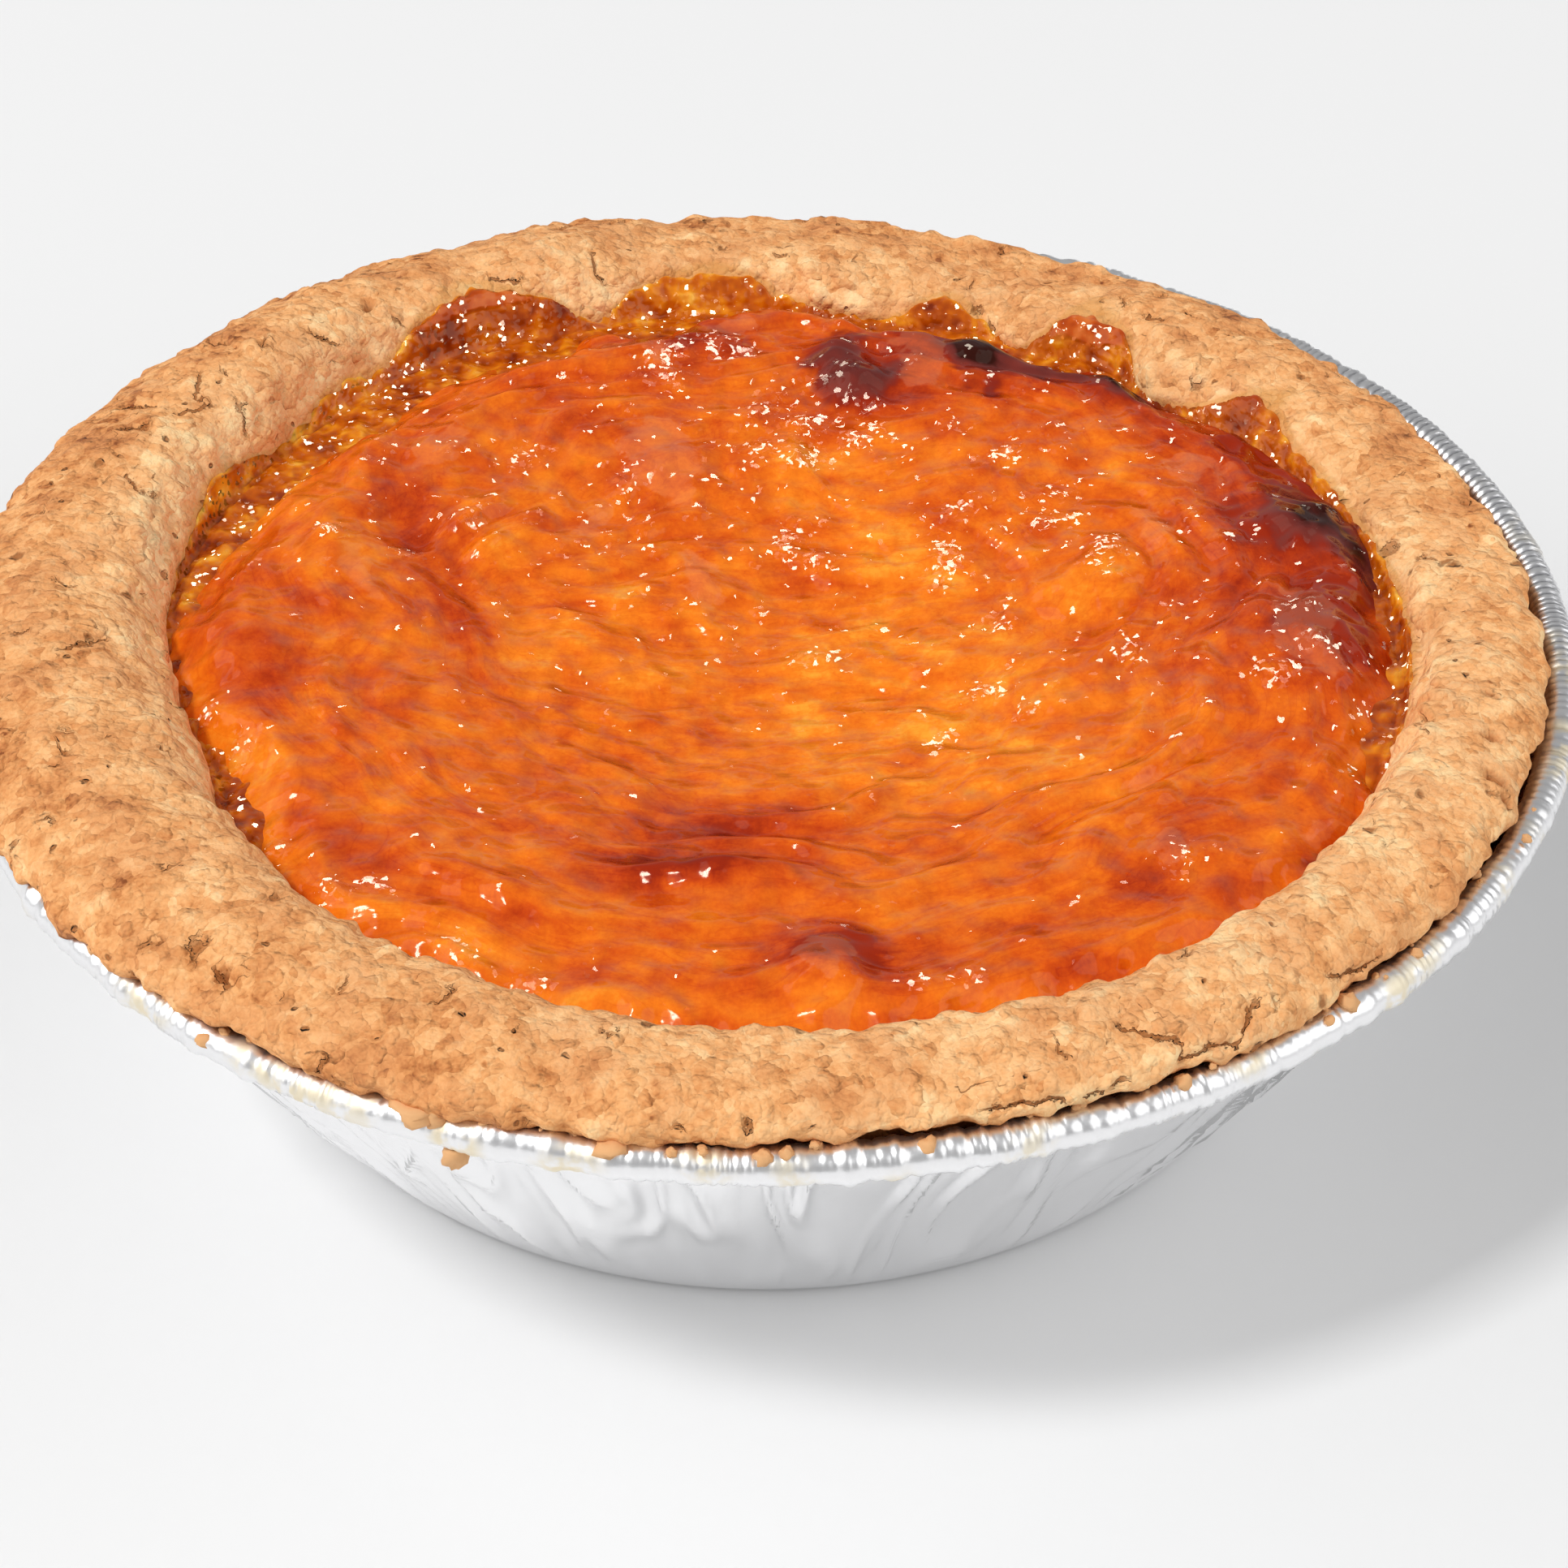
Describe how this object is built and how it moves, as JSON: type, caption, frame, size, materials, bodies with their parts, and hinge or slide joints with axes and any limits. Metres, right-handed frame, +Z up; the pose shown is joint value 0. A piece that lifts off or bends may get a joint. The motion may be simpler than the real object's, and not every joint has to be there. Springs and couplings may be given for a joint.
{
  "type": "sweet potato pie",
  "caption": "Small round open pie with a puffed shortcrust rim and a glossy, browned sweet potato filling, baked in its own shallow foil tin.",
  "frame": {"origin": "middle of the tin's flat underside, on the surface that the pie stands on", "axes": "+Z up through the middle of the pie, +X to the right and +Y to the back as the pie is seen from its front"},
  "size_m": [0.0848, 0.0848, 0.0263],
  "materials": {
    "foil": "satin",
    "crust": "matte",
    "filling": "gloss"
  },
  "bodies": {
    "root": {"foil_tin": "foil", "crust": "crust", "filling": "filling"}
  },
  "joints": []
}
